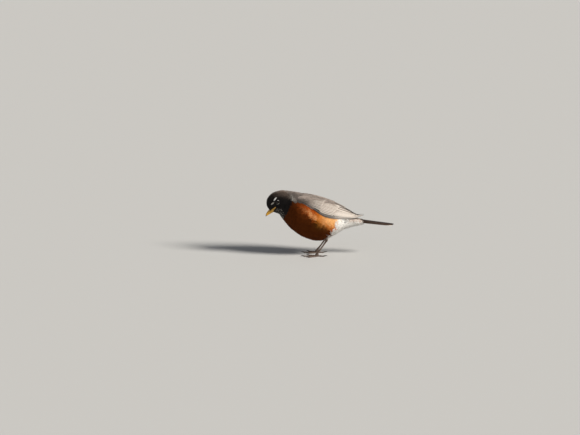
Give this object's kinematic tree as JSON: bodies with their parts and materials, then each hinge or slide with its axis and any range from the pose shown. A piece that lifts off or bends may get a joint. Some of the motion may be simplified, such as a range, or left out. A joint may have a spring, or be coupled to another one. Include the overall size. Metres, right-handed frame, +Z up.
{
  "type": "american robin",
  "caption": "Life-size American robin with grey back, black hood and rusty breast, standing with its head bent to look at the ground.",
  "frame": {"origin": "on the floor, at the middle of the bird's bounding box", "axes": "-Y is the way the bird faces, +X its left side, +Z up"},
  "size_m": [0.0642, 0.2248, 0.1146],
  "materials": {
    "hood_feather": "soft matt, near black",
    "back_feather": "soft matt, brown grey",
    "breast_feather": "soft matt, rusty orange",
    "vent_feather": "downy matt, white",
    "flight_feather": "satin, dark grey brown with paler edges",
    "bill_horn": "satin, yellow with a dark tip",
    "eye": "wet gloss, black brown",
    "leg_scale": "satin scales, dark brown",
    "claw_horn": "satin, black brown"
  },
  "bodies": {
    "root": {"head": "hood_feather", "neck": "back_feather", "trunk": "breast_feather", "rump": "vent_feather", "tail": "flight_feather", "bill_upper": "bill_horn", "bill_lower": "bill_horn", "eye_left": "eye", "wing_left": "flight_feather", "thigh_left": "vent_feather", "tarsus_left": "leg_scale", "foot_left": "leg_scale", "toe_left_inner": "leg_scale", "toe_left_middle": "leg_scale", "toe_left_outer": "leg_scale", "toe_left_hind": "leg_scale", "claw_left_inner": "claw_horn", "claw_left_middle": "claw_horn", "claw_left_outer": "claw_horn", "claw_left_hind": "claw_horn", "eye_right": "eye", "wing_right": "flight_feather", "thigh_right": "vent_feather", "tarsus_right": "leg_scale", "foot_right": "leg_scale", "toe_right_inner": "leg_scale", "toe_right_middle": "leg_scale", "toe_right_outer": "leg_scale", "toe_right_hind": "leg_scale", "claw_right_inner": "claw_horn", "claw_right_middle": "claw_horn", "claw_right_outer": "claw_horn", "claw_right_hind": "claw_horn"}
  },
  "joints": []
}
